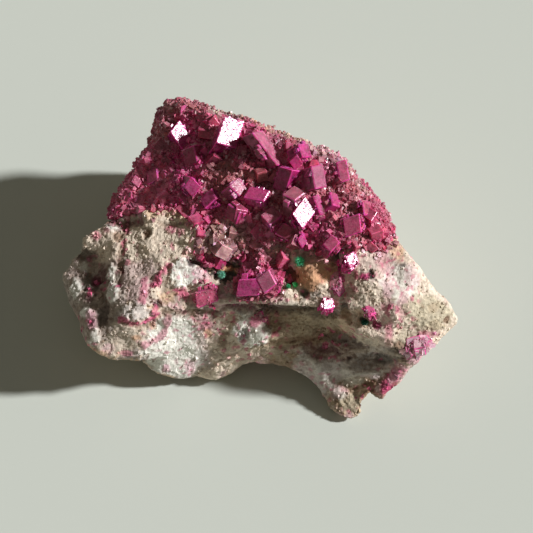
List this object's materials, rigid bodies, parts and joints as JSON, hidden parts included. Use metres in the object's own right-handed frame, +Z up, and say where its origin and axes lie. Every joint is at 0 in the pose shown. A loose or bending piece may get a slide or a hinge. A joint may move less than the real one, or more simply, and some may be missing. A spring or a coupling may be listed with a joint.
{
  "type": "mineral specimen",
  "caption": "Rough broken hand specimen with a crust of pink rhombic calcite crystals on pale host rock and small tufts of green malachite.",
  "frame": {"origin": "on the table, under the middle of the specimen's box", "axes": "+Z up, +X to the right end of the specimen, -Y towards the viewer of the show face"},
  "size_m": [0.0496, 0.0376, 0.0231],
  "materials": {
    "host_rock": "rough, crumbly stone",
    "cobaltoan_calcite": "glassy crystal faces",
    "malachite": "silky fibrous tufts"
  },
  "bodies": {
    "root": {"matrix": "host_rock", "cobaltocalcite_crust": "cobaltoan_calcite", "crystal_lobe": "cobaltoan_calcite", "crystal_lip": "cobaltoan_calcite", "crystal_shelf": "cobaltoan_calcite", "crystal_step": "cobaltoan_calcite", "crystal_slope": "cobaltoan_calcite", "crystal_right_edge": "cobaltoan_calcite", "crystal_hollow": "cobaltoan_calcite", "malachite_bay": "malachite", "malachite_vug": "malachite", "malachite_ledge": "malachite", "malachite_pair": "malachite", "malachite_slope": "malachite"}
  },
  "joints": []
}
